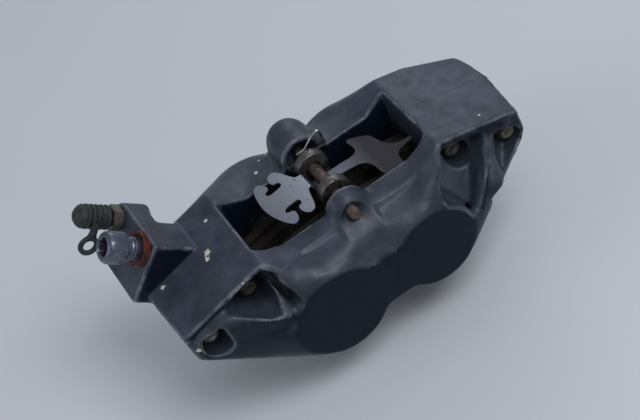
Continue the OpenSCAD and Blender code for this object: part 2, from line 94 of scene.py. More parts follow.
# Soft boxes: place, width, power in watts, colour. They all face SOFT_BOX_AIM
SOFT_BOXES = (((0.26, -0.42, 0.82), 0.5, 4.2, "f2f6ff"), ((0.45, 0.7, 0.5), 0.5, 1.5, "e8f0ff"),
              ((-0.75, 0.1, 0.45), 0.4, 1.0, "e8f0ff"))
SOFT_BOX_AIM = (0.0, 0.0, -0.02)
SKY, SKY_STRENGTH = "dfe6ee", 0.32

# Chips in the paint: place and size, in millimetres
CHIPS = (((-48, 13, -1.2), 1.0), ((-55.2, -0.6, -3.2), 2.1), ((-56.4, -3, -3.3), 1.7), ((-77, 3.3, -9), 1.5),
        ((-79.6, -26.4, -19), 1.5), ((-10.5, 36, -11), 1.0), ((-14, 35, -10.6), 0.8),
        ((-18.6, 27.8, -9.2), 1.3), ((64, -20, -5.7), 0.7))

# The outer half's flanks: bodies that fill them, then hollows as circles across Y (centre, radius, depth)
# and more corners of the same hollow
FILLS = (((62, -12, -7.5), (77.9, -12, -11), (78, -12, -20.5), (75.5, -12, -25.5), (62, -12, -33.6),
        (62, -26.2, -7.5), (77.9, -26.2, -11), (78, -26.2, -20.5), (75.5, -26.2, -25.5), (62, -26.2, -33.6)),
        ((61, -26, -9.5), (62.6, -26, -10), (61.5, -12, -10), (52, -35, -27), (61.5, -31, -30),
        (43, -37.2, -34.5), (60, -32.4, -35), (50, -12, -30), (60, -12, -34), (40, -12, -43),
        (40, -37.6, -37)), ((-79, -27.2, -13.8), (-66, -29.6, -9.8), (-60, -32, -10), (-54, -35, -13.4),
        (-49, -37, -17.2), (-45, -38.2, -19), (-39, -38.4, -21), (-36, -38.6, -36), (-60, -33, -34),
        (-79, -27, -26), (-79.5, -12, -12.5), (-45, -12, -4), (-45, -12, -45), (-79, -12, -26)))
HOLLOWS = (((((-49.6, -16.2), 5.8, -14.5),), ((-44, -14.5, -6), (-56, -14.5, -9.5), (-42.5, -27, -2.6),
            (-64, -28, -8.6), (-59, -40, -8), (-54, -40, -12.8), (-49, -42, -16.8), (-45.2, -42, -17.6),
            (-41.5, -34, -13), (-38.6, -29, -5), (-59, -40, -2), (-42, -40, -2))),
          ((((-72.4, -21), 5.4, -17.5), ((-72.4, -21), 6.0, -45)),
           ((-76, -19, -15), (-68, -19, -13.5), (-76.5, -45, -13.8), (-67, -45, -11.4))),
          ((((71.7, -20.6), 4.4, -18.0),), tuple((x, y, z) for x, z in (
              (63.8, -12.5), (70, -14.2), (75, -16.6), (75.6, -21), (72, -24.6), (66.5, -28.6), (62, -31.4),
              (61.4, -26)) for y in (-28, -45))))

# The leaf spring's outline: one side of the head, from its neck to its nose, and all of the tail
HEAD_SIDE = ((-1.2, 4.3), (-2.6, 4.6), (-3.4, 5.6), (-4.2, 7.9), (-5.1, 10.7), (-6.1, 13.4), (-7.0, 14.8),
        (-8.4, 15.3), (-9.9, 14.9), (-11.0, 13.6), (-11.5, 11.8), (-11.4, 9.9), (-10.9, 8.8), (-10.0, 8.9),
        (-9.2, 8.5), (-8.7, 7.6), (-8.8, 6.4), (-9.6, 5.6), (-11.4, 5.5), (-13.8, 5.4), (-15.4, 5.7),
        (-16.3, 6.5), (-16.3, 7.6), (-15.6, 8.3), (-14.5, 8.5), (-13.8, 9.1), (-13.5, 10.4), (-13.9, 12.2),
        (-14.6, 13.8), (-15.8, 14.7), (-17.1, 14.7), (-18.2, 13.7), (-19.1, 12.0), (-20.0, 9.4), (-20.8, 6.2),
        (-21.3, 3.1), (-21.5, 0.0))
TAIL = ((-4.0, -3.4), (-1.5, -1.8), (3.0, -1.1), (8.0, -1.0), (12.0, -1.5), (15.5, -2.1), (17.8, -3.5),
        (19.2, -6.0), (19.8, -9.0), (20.1, -12.0), (20.8, -14.0), (22.4, -14.9), (25.0, -15.1), (28.0, -15.1),
        (29.6, -14.2), (29.6, -11.6), (30.0, -9.6), (31.4, -8.2), (33.6, -7.5), (36.2, -7.1), (38.4, -6.9),
        (39.3, -5.9), (38.4, -5.0), (36.0, -4.9), (33.4, -4.5), (31.0, -3.0), (29.4, -0.8), (28.3, 2.0),
        (27.6, 5.0), (26.9, 7.6), (25.4, 9.4), (23.2, 11.4), (21.0, 13.0), (19.3, 14.0), (18.1, 13.6),
        (17.9, 12.0), (18.3, 9.4), (18.5, 6.8), (18.0, 4.8), (16.4, 3.8), (14.0, 3.6), (12.0, 3.8),
        (8.0, 4.0), (3.0, 4.1), (-1.5, 4.1), (-4.0, 4.0))


def rgb(code):
    """An sRGB hex colour as linear red, green, blue and alpha."""
    parts = [int(code[i : i + 2], 16) / 255 for i in (0, 2, 4)]
    return tuple(c / 12.92 if c <= 0.04045 else ((c + 0.055) / 1.055) ** 2.4 for c in parts) + (1.0,)


def connect(tree, node, links):
    """Fills a node's inputs: each takes a value, an output, or another node's first output in use."""
    for key, value in links.items():
        if isinstance(value, bpy.types.Node):
            value = next(socket for socket in value.outputs if socket.enabled)
        if isinstance(value, bpy.types.NodeSocket):
            tree.links.new(value, node.inputs[key])
        else:
            node.inputs[key].default_value = value


def add(tree, kind, links=None, **settings):
    """Adds a node, with its settings and its inputs. A kind without "Node" is one of the shader's."""
    node = tree.nodes.new(kind if "Node" in kind else "ShaderNode" + kind)
    for key, value in settings.items():
        setattr(node, key, value)
    connect(tree, node, links or {})
    return node


# ---- properties


def length(name, description, default, low, high):
    """A length that a user can change, given in millimetres."""
    return FloatProperty(name=name, description=description, default=default * MM, min=low * MM,
            max=high * MM, unit="LENGTH", precision=5)


def number(name, description, default, low, high):
    """A whole number that a user can change."""
    return IntProperty(name=name, description=description, default=default, min=low, max=high)


class CaliperSizes(bpy.types.PropertyGroup):
    grain: length("Remesh grain", "Size of the castings' mesh grain", 0.62, 0.4, 2)
    fillet_passes: number("Fillet passes", "Smoothing passes that round the cast edges", 5, 0, 40)
    mound_passes: number("Mound passes", "Smoothing passes on the sloping cast faces", 150, 0, 300)
    flank_passes: number("Flank passes", "Smoothing passes round the side pockets", 16, 0, 60)
    crease: length("Crease", "Depth of the crease beyond the rail beside the window", 0.9, 0, 2)
    thread_pitch: length("Thread pitch", "Pitch of the M8 joint bolts", 1.25, 0.8, 2)
    hose_pitch: length("Hose thread pitch", "Pitch of the M10 hose bolt", 1.25, 0.8, 2)
    knurls: number("Knurls", "Ridges round each bolt head", 36, 12, 60)
    cap_ribs: number("Cap ribs", "Ribs along the rubber cap", 5, 1, 8)


def colour(name, description, code):
    """A colour that a user can change."""
    return FloatVectorProperty(name=name, description=description, subtype="COLOR", size=4, min=0, max=1,
            default=rgb(code))


class CaliperColours(bpy.types.PropertyGroup):
    paint: colour("Paint", "Satin paint of the castings", "363c47")
    # Painted shade: the darker colour put on every face that looks towards -Y, the bulge faces above all
    face_painted_shade: colour("Bulge faces", "Darker paint on the bulge faces", "121a28")
    zinc: colour("Zinc", "Blue-white zinc plating", "777d8b")
    copper: colour("Copper", "Soft copper of the washers", "8f4d3b")
    rust: colour("Rust", "Brown rust on the pin and pad eyes", "57443d")
    floor: colour("Floor", "Pale studio floor", "dfe1e3")


def sizes():
    return bpy.context.scene.caliper_sizes


def colours():
    return bpy.context.scene.caliper_colours


# ---- materials


def material(name):
    """A material by that name: its tree, its shader and its coordinates."""
    made = bpy.data.materials.new(name)
    made.use_nodes = True
    tree = made.node_tree
    tree.nodes.clear()
    shader = add(tree, "BsdfPrincipled")
    add(tree, "OutputMaterial", {"Surface": shader})
    return made, tree, shader, add(tree, "TexCoord").outputs


def satin_paint():
    """Satin black-grey stoving paint on a sand-cast skin: soft broad gloss, fine grain, worn edges that show
    paler with a painted highlight, bare aluminium chips with an oxide rim, painted shade on the faces that
    look towards -Y, and painted shade with road dirt in the corners."""
    made, tree, shader, coordinates = material("satin_paint_with_painted_shade_and_highlight")
    place = coordinates["Object"]
    tone = add(tree, "TexNoise", {"Vector": place, "Scale": 90.0, "Detail": 5.0})
    grain = add(tree, "TexNoise", {"Vector": place, "Scale": 1500.0, "Detail": 3.0})
    lumps = add(tree, "TexNoise", {"Vector": place, "Scale": 320.0, "Detail": 3.0})
    patch = add(tree, "TexNoise", {"Vector": place, "Scale": 210.0, "Detail": 6.0, "Roughness": 0.65})
    edge = add(tree, "NewGeometry").outputs["Pointiness"]

    # Two tones of one paint, 1 to 2 cm across
    paint = colours().paint
    paler = [min(1, c * 1.45) for c in paint[:3]] + [1]
    darker = [c * 0.72 for c in paint[:3]] + [1]
    cloud = add(tree, "MapRange", {"Value": tone, "From Min": 0.35, "From Max": 0.65})
    coat = add(tree, "Mix", {"Factor": cloud, "A": darker, "B": paler}, data_type="RGBA")

    # Painted shade: the upright outer faces, which look towards -Y, take a darker colour of their own, and
    # are smoother
    facing = add(tree, "SeparateXYZ", {"Vector": coordinates["Normal"]})
    front = add(tree, "MapRange", {"Value": facing.outputs["Y"], "From Min": -0.86, "From Max": -0.97})
    faces = add(tree, "Mix", {"Factor": front, "A": coat, "B": list(colours().face_painted_shade)}, data_type="RGBA")

    # Painted shade in hollows, where the mesh turns inwards: darker as ambient occlusion would make them,
    # with road dirt
    hollow = add(tree, "MapRange", {"Value": edge, "From Min": 0.487, "From Max": 0.462})
    shade = add(tree, "Mix", {"Factor": hollow, "A": faces, "B": rgb("1b1916")}, data_type="RGBA")

    # Worn edges and a painted highlight: a pale line along every outward corner, broken up by the patchy
    # noise
    bump_out = add(tree, "MapRange", {"Value": edge, "From Min": 0.51, "From Max": 0.548})
    part = add(tree, "SeparateXYZ", {"Vector": place})
    off = add(tree, "Math", {0: part.outputs["Y"]}, operation="ABSOLUTE")
    clear = add(tree, "MapRange", {"Value": off, "From Min": 0.5 * MM, "From Max": 1.2 * MM})
    ridge = add(tree, "Math", {0: bump_out, 1: clear}, operation="MULTIPLY")
    broken = add(tree, "MapRange", {"Value": patch, "From Min": 0.36, "From Max": 0.62})
    rub_and_highlight = add(tree, "Math", {0: ridge, 1: broken}, operation="MULTIPLY")
    rubbed_and_highlit = add(tree, "Mix", {"Factor": rub_and_highlight, "A": shade, "B": rgb("8b9099")}, data_type="RGBA")

    # Chips to bare metal: ragged ones in a few places, and specks on outward corners, with a dark oxide rim
    spots = add(tree, "TexNoise", {"Vector": place, "Scale": 520.0, "Detail": 2.0})
    lifted = add(tree, "Math", {0: ridge, 1: 0.13, 2: spots}, operation="MULTIPLY_ADD")
    worst = add(tree, "MapRange", {"Value": lifted, "From Min": 0.78, "From Max": 0.86, "To Max": 0.9})
    ragged = add(tree, "TexNoise", {"Vector": place, "Scale": 1100.0, "Detail": 5.0})
    for spot, size in CHIPS:
        away = add(tree, "VectorMath", {0: place, 1: tuple(c * MM for c in spot)}, operation="DISTANCE")
        near = add(tree, "MapRange", {"Value": away, "From Min": size * 1.7 * MM, "From Max": size * 0.3 * MM,
                "To Max": 1.2})
        torn = add(tree, "Math", {0: ragged, 1: near}, operation="MULTIPLY")
        worst = add(tree, "Math", {0: worst, 1: torn}, operation="MAXIMUM")
    oxide = add(tree, "MapRange", {"Value": worst, "From Min": 0.2, "From Max": 0.36, "To Max": 0.8})
    chip = add(tree, "MapRange", {"Value": worst, "From Min": 0.4, "From Max": 0.46})
    rimmed = add(tree, "Mix", {"Factor": oxide, "A": rubbed_and_highlit, "B": rgb("3a352c")}, data_type="RGBA")
    bare = add(tree, "Mix", {"Factor": chip, "A": rimmed, "B": rgb("d2cfc4")}, data_type="RGBA")

    gloss = add(tree, "MapRange", {"Value": patch, "From Min": 0.3, "From Max": 0.7, "To Min": 0.34,
            "To Max": 0.52})
    deep = add(tree, "Bump", {"Height": lumps, "Strength": 0.35, "Distance": 0.25 * MM})
    fine = add(tree, "Bump", {"Height": grain, "Strength": 0.5, "Distance": 0.12 * MM, "Normal": deep})
    dent = add(tree, "Bump", {"Height": chip, "Strength": 0.6, "Distance": -0.15 * MM, "Normal": fine})
    sheen = add(tree, "MapRange", {"Value": front, "To Min": 0.42, "To Max": 0.14})
    connect(tree, shader, {"Base Color": bare, "Roughness": gloss, "Normal": dent, "IOR": 1.5,
            "Specular IOR Level": sheen})
    return made


def plated_steel(name, colour, roughness, stain, stain_share, scratch, dull=None):
    """Plated or bare steel: metal with fine marks, and stains of another colour over a share of it. With
    dull (a start and an end along one axis, in millimetres) all of it beyond that end takes the stain colour;
    on the pad plates this is painted shade.
    A colour is a hex code, or the name of one that a user can change."""
    made, tree, shader, coordinates = material(name)
    colour, stain = [getattr(colours(), c, None) or rgb(c) for c in (colour, stain)]
    place = coordinates["Object"]
    patch = add(tree, "TexNoise", {"Vector": place, "Scale": 480.0, "Detail": 6.0, "Roughness": 0.7})
    fine = add(tree, "TexNoise", {"Vector": place, "Scale": 2600.0, "Detail": 3.0})
    clean_above = 0.68 - 0.4 * stain_share
    mask = add(tree, "MapRange", {"Value": patch, "From Min": clean_above, "From Max": clean_above + 0.12})
    # Turns the piece to the stain colour towards the given end: painted shade on the pad plates, only darker
    # towards that end on the spring and the clip
    if dull:
        axis, start, end = dull
        part = add(tree, "SeparateXYZ", {"Vector": place})
        share = add(tree, "MapRange", {"Value": part.outputs[axis], "From Min": start * MM,
                "From Max": end * MM})
        mask = add(tree, "Math", {0: share, 1: mask}, operation="MAXIMUM")
    tint = add(tree, "Mix", {"Factor": mask, "A": colour, "B": stain}, data_type="RGBA")
    speck = add(tree, "MapRange", {"Value": fine, "From Min": 0.3, "From Max": 0.7, "To Min": 0.82,
            "To Max": 1.1})
    toned = add(tree, "Mix", {"Factor": 1.0, "A": tint, "B": speck}, data_type="RGBA", blend_type="MULTIPLY")
    clean = add(tree, "Math", {0: 1.0, 1: mask}, operation="SUBTRACT")
    metal = add(tree, "MapRange", {"Value": clean, "To Min": 0.25, "To Max": 1.0})
    rough = add(tree, "MapRange", {"Value": mask, "To Min": roughness, "To Max": 0.78})
    bump = add(tree, "Bump", {"Height": fine, "Strength": scratch, "Distance": 0.06 * MM})
    connect(tree, shader, {"Base Color": toned, "Metallic": metal, "Roughness": rough, "Normal": bump})
    return made


def moulded_rubber():
    """Moulded rubber, grey from dust: dull, with a slight sheen and a faint skin texture."""
    made, tree, shader, coordinates = material("moulded_rubber")
    place = coordinates["Object"]
    dust = add(tree, "TexNoise", {"Vector": place, "Scale": 300.0, "Detail": 5.0})
    fine = add(tree, "TexNoise", {"Vector": place, "Scale": 2200.0, "Detail": 2.0})
    mask = add(tree, "MapRange", {"Value": dust, "From Min": 0.35, "From Max": 0.7})
    tint = add(tree, "Mix", {"Factor": mask, "A": rgb("202423"), "B": rgb("3b403e")}, data_type="RGBA")
    rough = add(tree, "MapRange", {"Value": dust, "To Min": 0.45, "To Max": 0.75})
    bump = add(tree, "Bump", {"Height": fine, "Strength": 0.3, "Distance": 0.08 * MM})
    connect(tree, shader, {"Base Color": tint, "Roughness": rough, "Normal": bump, "IOR": 1.52})
    return made


def pressed_lining():
    """Sintered friction lining: black-brown grit with bright metal specks and brake dust."""
    made, tree, shader, coordinates = material("sintered_lining")
    place = coordinates["Object"]
    grit = add(tree, "TexVoronoi", {"Vector": place, "Scale": 1300.0})
    dust = add(tree, "TexNoise", {"Vector": place, "Scale": 260.0, "Detail": 5.0})
    base = add(tree, "Mix", {"Factor": dust, "A": rgb("100e0d"), "B": rgb("2a2320")}, data_type="RGBA")
    speck = add(tree, "MapRange", {"Value": grit, "From Min": 0.16, "From Max": 0.1})
    tint = add(tree, "Mix", {"Factor": speck, "A": base, "B": rgb("5a4f47")}, data_type="RGBA")
    bump = add(tree, "Bump", {"Height": grit, "Strength": 0.6, "Distance": 0.2 * MM})
    connect(tree, shader, {"Base Color": tint, "Normal": bump, "Roughness": 0.9})
    return made


def studio_floor():
    """Matt pale board: even, with a very faint mottle."""
    made, tree, shader, coordinates = material("pale_board")
    place = coordinates["Object"]
    mottle = add(tree, "TexNoise", {"Vector": place, "Scale": 6.0, "Detail": 2.0})
    base = colours().floor
    tint = add(tree, "Mix", {"Factor": mottle, "A": list(base), "B": [c * 0.96 for c in base[:3]] + [1]},
            data_type="RGBA")
    connect(tree, shader, {"Base Color": tint, "Roughness": 0.65})
    return made


# Steels and other metals: material, colour, roughness, stain, share of stains, marks, and where it is dull,
# which turns it to the stain colour along one axis (painted shade on the pad plates)
METALS = {
    # Blue-white zinc on the hose bolt: bright, cool, lightly marked
    "zinc": ("blue_zinc_plate", "zinc", 0.38, "47444a", 0.38, 0.3),
    # Older zinc on the joint bolts, gone dull with white and brown oxide
    "bolts": ("dull_zinc_plate", "83827a", 0.42, "5c4c3e", 0.5, 0.4),
    # Stainless spring sheet, rolled bright, with a few brown water stains, and darker towards its tail, all
    # of it beyond x = 22 mm
    "spring": ("stainless_spring_sheet", "a2a4ac", 0.42, "39353a", 0.2, 0.3, ("X", -4.0, 22.0)),
    # The sheet's sheared edge, worn bright, with a painted highlight on its upward-facing eased rim
    "edge": ("sheared_edge_with_painted_highlight", "d8d8e2", 0.3, "8a868c", 0.15, 0.1),
    # Bright drawn wire, darker towards the bottom, all of it below z = -2.6 mm
    "wire": ("drawn_spring_wire", "c7c8c6", 0.28, "4c443d", 0.15, 0.15, ("Z", -0.6, -2.6)),
    # Ground steel rod under a film of brown rust
    "pin": ("rusted_steel_rod", "7d6f69", 0.42, "rust", 0.6, 0.5),
    # Stamped plate: scale, rust and dust, and painted shade that darkens it below z = -9 mm, deep in the
    # window
    "plate": ("rusted_stamped_plate_with_painted_shade", "7b7573", 0.42, "2c211e", 0.42, 0.6, ("Z", -9.0, -13.0)),
    # Soft copper, once bright, with dark tarnish
    "copper": ("annealed_copper", "copper", 0.36, "3b2823", 0.6, 0.3),
    # Hard-anodised turned aluminium
    "piston": ("hard_anodised_aluminium", "77777a", 0.35, "4b4846", 0.3, 0.25),
}
OTHERS = {"paint": satin_paint, "rubber": moulded_rubber, "lining": pressed_lining, "floor": studio_floor}
made_finishes = {}


def finish(name):
    """The named finish, made once."""
    if name not in made_finishes:
        made_finishes[name] = OTHERS[name]() if name in OTHERS else plated_steel(*METALS[name])
    return made_finishes[name]


# ---- mesh helpers


def along_y(x, z, y=0.0):
    """Places a shape built up its own Z so that it runs towards -Y from the point x, y, z (millimetres)."""
    turn = Matrix(((1, 0, 0), (0, 0, -1), (0, 1, 0))).to_4x4()
    return Matrix.Translation(Vector((x, y, z)) * MM) @ turn


def on_seat(y):
    """Places a shape built up its own Z on the slanted seat of the fittings, at reach y."""
    turn = Matrix.Rotation(math.radians(-45), 4, "Y")
    return Matrix.Translation(Vector((SEAT_X, y, SEAT_Z)) * MM) @ turn


def as_mesh(bm, name):
    """Ends a mesh under construction."""
    data = bpy.data.meshes.new(name)
    bm.to_mesh(data)
    bm.free()
    return data


def linked(name, data):
    """A new object in the scene."""
    made = bpy.data.objects.new(name, data)
    bpy.context.scene.collection.objects.link(made)
    return made


def evaluated(holder):
    """The mesh that an object's modifiers give, without the object."""
    shown = holder.evaluated_get(bpy.context.evaluated_depsgraph_get())
    result = bpy.data.meshes.new_from_object(shown)
    bpy.data.objects.remove(holder)
    return result


def bridge(bm, low, high):
    """Joins two closed loops of the same length by a strip of faces."""
    for i, vert in enumerate(low):
        j = (i + 1) % len(low)
        bm.faces.new((vert, low[j], high[j], high[i]))


def whole(bm):
    """All that a mesh under construction has, for a cut through it."""
    return bm.verts[:] + bm.edges[:] + bm.faces[:]


def polygon_radius(half_flats, angle, sides):
    """Distance from the centre to the edge of a regular polygon, at an angle."""
    step = math.tau / sides
    off = (angle + step / 2) % step - step / 2
    return half_flats / math.cos(off)


def turned(bm, rings, matrix, segments=48):
    """Adds a closed turned shape. Each ring is a radius and a height in millimetres, and a number of
    sides where it isn't round."""
    loops = []
    for radius, height, *sides in rings:
        loop = []
        for i in range(segments):
            angle = math.tau * i / segments
            r = polygon_radius(radius, angle, *sides) if sides else radius
            spot = Vector((r * math.cos(angle), r * math.sin(angle), height)) * MM
            loop.append(bm.verts.new(matrix @ spot))
        loops.append(loop)
    for low, high in zip(loops, loops[1:]):
        bridge(bm, low, high)
    for loop, end in ((loops[0], rings[0]), (loops[-1], rings[-1])):
        centre = bm.verts.new(matrix @ (Vector((0, 0, end[1])) * MM))
        for i in range(segments):
            j = (i + 1) % segments
            bm.faces.new((loop[j], loop[i], centre) if loop is loops[0] else (loop[i], loop[j], centre))


def hollow_turned(bm, rings, matrix, segments=48):
    """Adds a turned ring or tube: the outline closes on itself."""
    loops = []
    for radius, height in rings:
        loops.append([bm.verts.new(matrix @ (Vector((radius * math.cos(math.tau * i / segments),
                radius * math.sin(math.tau * i / segments), height)) * MM)) for i in range(segments)])
    for low, high in zip(loops, loops[1:] + loops[:1]):
        bridge(bm, low, high)


def piece(name, bm, look, body, nodes, sharp=35.0, extra=()):
    """Turns a mesh under construction into a finished piece that rides on a body."""
    bmesh.ops.recalc_face_normals(bm, faces=bm.faces)
    for mesh in extra:
        bm.from_mesh(mesh)
    return settle(name, as_mesh(bm, name), look, body, nodes, sharp)


def settle(name, data, look, body, nodes, sharp=35.0):
    """Gives a mesh its material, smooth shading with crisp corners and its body."""
    data.materials.clear()
    data.materials.append(finish(look))
    data.polygons.foreach_set("use_smooth", [True] * len(data.polygons))
    data.set_sharp_from_angle(angle=math.radians(sharp))
    made = linked(name, data)
    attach(made, body)
    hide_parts(*nodes)
    return made


def merged_copy(node):
    """The CAD node's mesh as one joined shell."""
    bm = bmesh.new()
    bm.from_mesh(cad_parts[node].data)
    bmesh.ops.remove_doubles(bm, verts=bm.verts, dist=1e-6)
    return bm


def through_modifiers(name, data, *settings):
    """Runs a mesh through modifiers, each (kind, {setting: value}), and returns the plain result."""
    holder = linked(name, data)
    for kind, values in settings:
        modifier = holder.modifiers.new(kind.lower(), kind)
        for key, value in values.items():
            setattr(modifier, key, value)
    return evaluated(holder)


# ---- node trees


def node_tree(name, inputs):
    """An empty Geometry Nodes tree with named inputs, a material as its last, and its input node."""
    tree = bpy.data.node_groups.new(name, "GeometryNodeTree")
    for label, kind in inputs + (("Material", "Material"),):
        tree.interface.new_socket(label, in_out="INPUT", socket_type="NodeSocket" + kind)
    tree.interface.new_socket("Geometry", in_out="OUTPUT", socket_type="NodeSocketGeometry")
    return tree, add(tree, "NodeGroupInput").outputs


def close_tree(tree, geometry, look):
    """Ends a tree in real geometry with its material."""
    real = add(tree, "GeometryNodeRealizeInstances", {"Geometry": geometry})
    dressed = add(tree, "GeometryNodeSetMaterial", {"Geometry": real, "Material": look})
    add(tree, "NodeGroupOutput", {"Geometry": dressed})


def grown(tree, values, matrix):
    """Evaluates a tree with the given inputs and returns its mesh, put in place."""
    holder = linked("holder", bpy.data.meshes.new("holder"))
    modifier = holder.modifiers.new("nodes", "NODES")
    modifier.node_group = tree
    for item in tree.interface.items_tree:
        if item.in_out == "INPUT" and item.name in values:
            modifier[item.identifier] = values[item.name]
    result = evaluated(holder)
    result.transform(matrix)
    return result


def thread_tree():
    """A thread's ridge: a thin three-sided wire wound in a helix."""
    tree, given = node_tree("thread_ridge", (("Radius", "Float"), ("Pitch", "Float"), ("Turns", "Float"),
            ("Depth", "Float")))
    rise = add(tree, "Math", {0: given["Pitch"], 1: given["Turns"]}, operation="MULTIPLY")
    helix = add(tree, "GeometryNodeCurveSpiral", {"Resolution": 32, "Rotations": given["Turns"],
            "Start Radius": given["Radius"], "End Radius": given["Radius"], "Height": rise})
    ridge = add(tree, "GeometryNodeCurvePrimitiveCircle", {"Resolution": 4, "Radius": given["Depth"]})
    wound = add(tree, "GeometryNodeCurveToMesh", {"Curve": helix, "Profile Curve": ridge, "Fill Caps": True})
    close_tree(tree, wound, given["Material"])
    return tree


def knurl_tree():
    """Knurling: small square ridges standing round a bolt head."""
    tree, given = node_tree("knurled_head", (("Radius", "Float"), ("Count", "Int"), ("Height", "Float"),
            ("Width", "Float")))
    ring = add(tree, "GeometryNodeMeshCircle", {"Vertices": given["Count"], "Radius": given["Radius"]})
    size = add(tree, "CombineXYZ", {"X": given["Width"], "Y": given["Width"], "Z": given["Height"]})
    ridge = add(tree, "GeometryNodeMeshCube", {"Size": size})
    turn = add(tree, "GeometryNodeTransform", {"Geometry": ridge, "Rotation": (0.0, 0.0, math.radians(45))})
    outward = add(tree, "GeometryNodeInputPosition")
    aim = add(tree, "FunctionNodeAlignRotationToVector", {"Vector": outward}, axis="X", pivot_axis="Z")
    stood = add(tree, "GeometryNodeInstanceOnPoints", {"Points": ring, "Instance": turn, "Rotation": aim})
    close_tree(tree, stood, given["Material"])
    return tree


def rib_tree():
    """Round ribs one above another, as moulded round a cap."""
    tree, given = node_tree("cap_ribs", (("Radius", "Float"), ("Count", "Int"), ("Pitch", "Float"),
            ("Thickness", "Float")))
    step = add(tree, "CombineXYZ", {"Z": given["Pitch"]})
    places = add(tree, "GeometryNodeMeshLine", {"Count": given["Count"], "Offset": step})
    loop = add(tree, "GeometryNodeCurvePrimitiveCircle", {"Resolution": 48, "Radius": given["Radius"]})
    section = add(tree, "GeometryNodeCurvePrimitiveCircle", {"Resolution": 12, "Radius": given["Thickness"]})
    rib = add(tree, "GeometryNodeCurveToMesh", {"Curve": loop, "Profile Curve": section})
    stacked = add(tree, "GeometryNodeInstanceOnPoints", {"Points": places, "Instance": rib})
    close_tree(tree, stacked, given["Material"])
    return tree


# ---- castings


def smoothed(data, passes, weight):
    """Laplacian smoothing with a weight for each vertex."""
    count = len(data.vertices)
    spots = np.empty(count * 3)
    data.vertices.foreach_get("co", spots)
    spots = spots.reshape(-1, 3)
    pairs = np.empty(len(data.edges) * 2, dtype=np.int64)
    data.edges.foreach_get("vertices", pairs)
    a, b = pairs[::2], pairs[1::2]
    ends, others = np.concatenate((a, b)), np.concatenate((b, a))
    degree = np.bincount(ends, minlength=count)[:, None]
    strength = weight(spots / MM)[:, None]
    for _ in range(passes):
        mean = np.stack([np.bincount(ends, spots[others, k], count) for k in range(3)], axis=1) / degree
        spots += strength * 0.6 * (mean - spots)
    data.vertices.foreach_set("co", spots.ravel())
    data.update()


def step(value, low, high):
    """Rises smoothly from 0 at low to 1 at high."""
    t = np.clip((value - low) / (high - low), 0, 1)
    return t * t * (3 - 2 * t)


def mound_share(p):
    """How much a point belongs to the sloping faces between the window and the bulges."""
    x, y, z = p[:, 0], np.abs(p[:, 1]), p[:, 2]
    share = step(y, WINDOW_Y + 1.5, WINDOW_Y + 4) * (1 - step(np.abs(x), 33, 39))
    for centre, radius in ((LARGE_X, LARGE_BULGE), (SMALL_X, SMALL_BULGE)):
        away = np.hypot(x - centre, z - PISTON_Z)
        share = share * np.where(y > OUTER_FACE - 3, step(away, radius + 1, radius + 4), 1)
        share = share * step(away, radius - 2, radius + 2)
    return np.maximum(share * step(z, -34, -28), waist_share(p))


def waist_share(p):
    """How much a point belongs to the outline's waist, under and over the two bulges."""
    x, y, z = np.abs(p[:, 0] + 1), np.abs(p[:, 1]), p[:, 2]
    return (1 - step(x, 8, 14)) * step(y, 14, 18) * (1 - step(z, -46, -40)) * (1 - step(y, 36, 39))


def flank_share(p):
    """How much a point belongs to the ribs and pockets at the ends, clear of the bolts."""
    x, y, z = np.abs(p[:, 0]), np.abs(p[:, 1]), p[:, 2]
    below_deck = -0.2 - 0.27 * (x - 43.7) - z
    share = step(x, 31, 36) * step(y, 12, 16) * step(below_deck, 1.5, 4)
    for bolts in (END_BOLTS, NEAR_BOLTS):
        share = share * step(np.hypot(x - bolts[1][0], z - bolts[1][1]), 7.5, 9.5)
    return share


def creased(data, depth):
    """Presses in the crease that follows the rail beside the window, on the outer half."""
    spots = np.empty(len(data.vertices) * 3)
    data.vertices.foreach_get("co", spots)
    p = spots.reshape(-1, 3)
    x, y, z = (p / MM).T
    line = np.where(x < 0, -24.2 - 0.6 * np.clip(-26 - x, 0, 8), -25.4 + 0.12 * np.clip(x - 24, 0, 12))
    beyond = line - y
    ends = step(x, -37, -31) * (1 - step(x, 30, 38)) * step(np.abs(x), 7.0, 9.5)
    share = step(beyond, -0.6, 2.2) * (1 - step(beyond, 2.5, 10)) * ends * step(z, -26, -16)
    p[:, 2] -= share * depth * 0.9
    p[:, 1] += share * depth * 0.4
    data.vertices.foreach_set("co", spots)
    data.update()


def hull(points):
    """The mesh of the convex body round points (x, y, z in millimetres), as a linked object."""
    bm = bmesh.new()
    for spot in points:
        bm.verts.new(Vector(spot) * MM)
    bmesh.ops.convex_hull(bm, input=bm.verts)
    bmesh.ops.recalc_face_normals(bm, faces=bm.faces)
    return linked("hull", as_mesh(bm, "hull"))


def disc(centre, radius, y):
    """Points of a circle across Y."""
    return [(centre[0] + radius * math.cos(a), y, centre[1] + radius * math.sin(a))
            for a in (math.tau * i / 28 for i in range(28))]


def reworked_flanks(data):
    """Fills the outer half's flanks, then sinks smooth pockets in them round the bolts' tips."""
    tools = [("UNION", hull(spots)) for spots in FILLS]
    for discs, corners in HOLLOWS:
        spots = [spot for centre, radius, y in discs for spot in disc(centre, radius, y)]
        tools.append(("DIFFERENCE", hull(spots + list(corners))))
    for kind, tool in tools:
        data = through_modifiers("flanks", data, ("BOOLEAN", {"operation": kind, "object": tool,
                "solver": "EXACT"}))
        bpy.data.objects.remove(tool)
    return data


def joint_side(spots):
    """-1 for a casting on the -Y side of the joint, and 1 for one on the +Y side."""
    return 1 if sum(s.y for s in spots) > 0 else -1


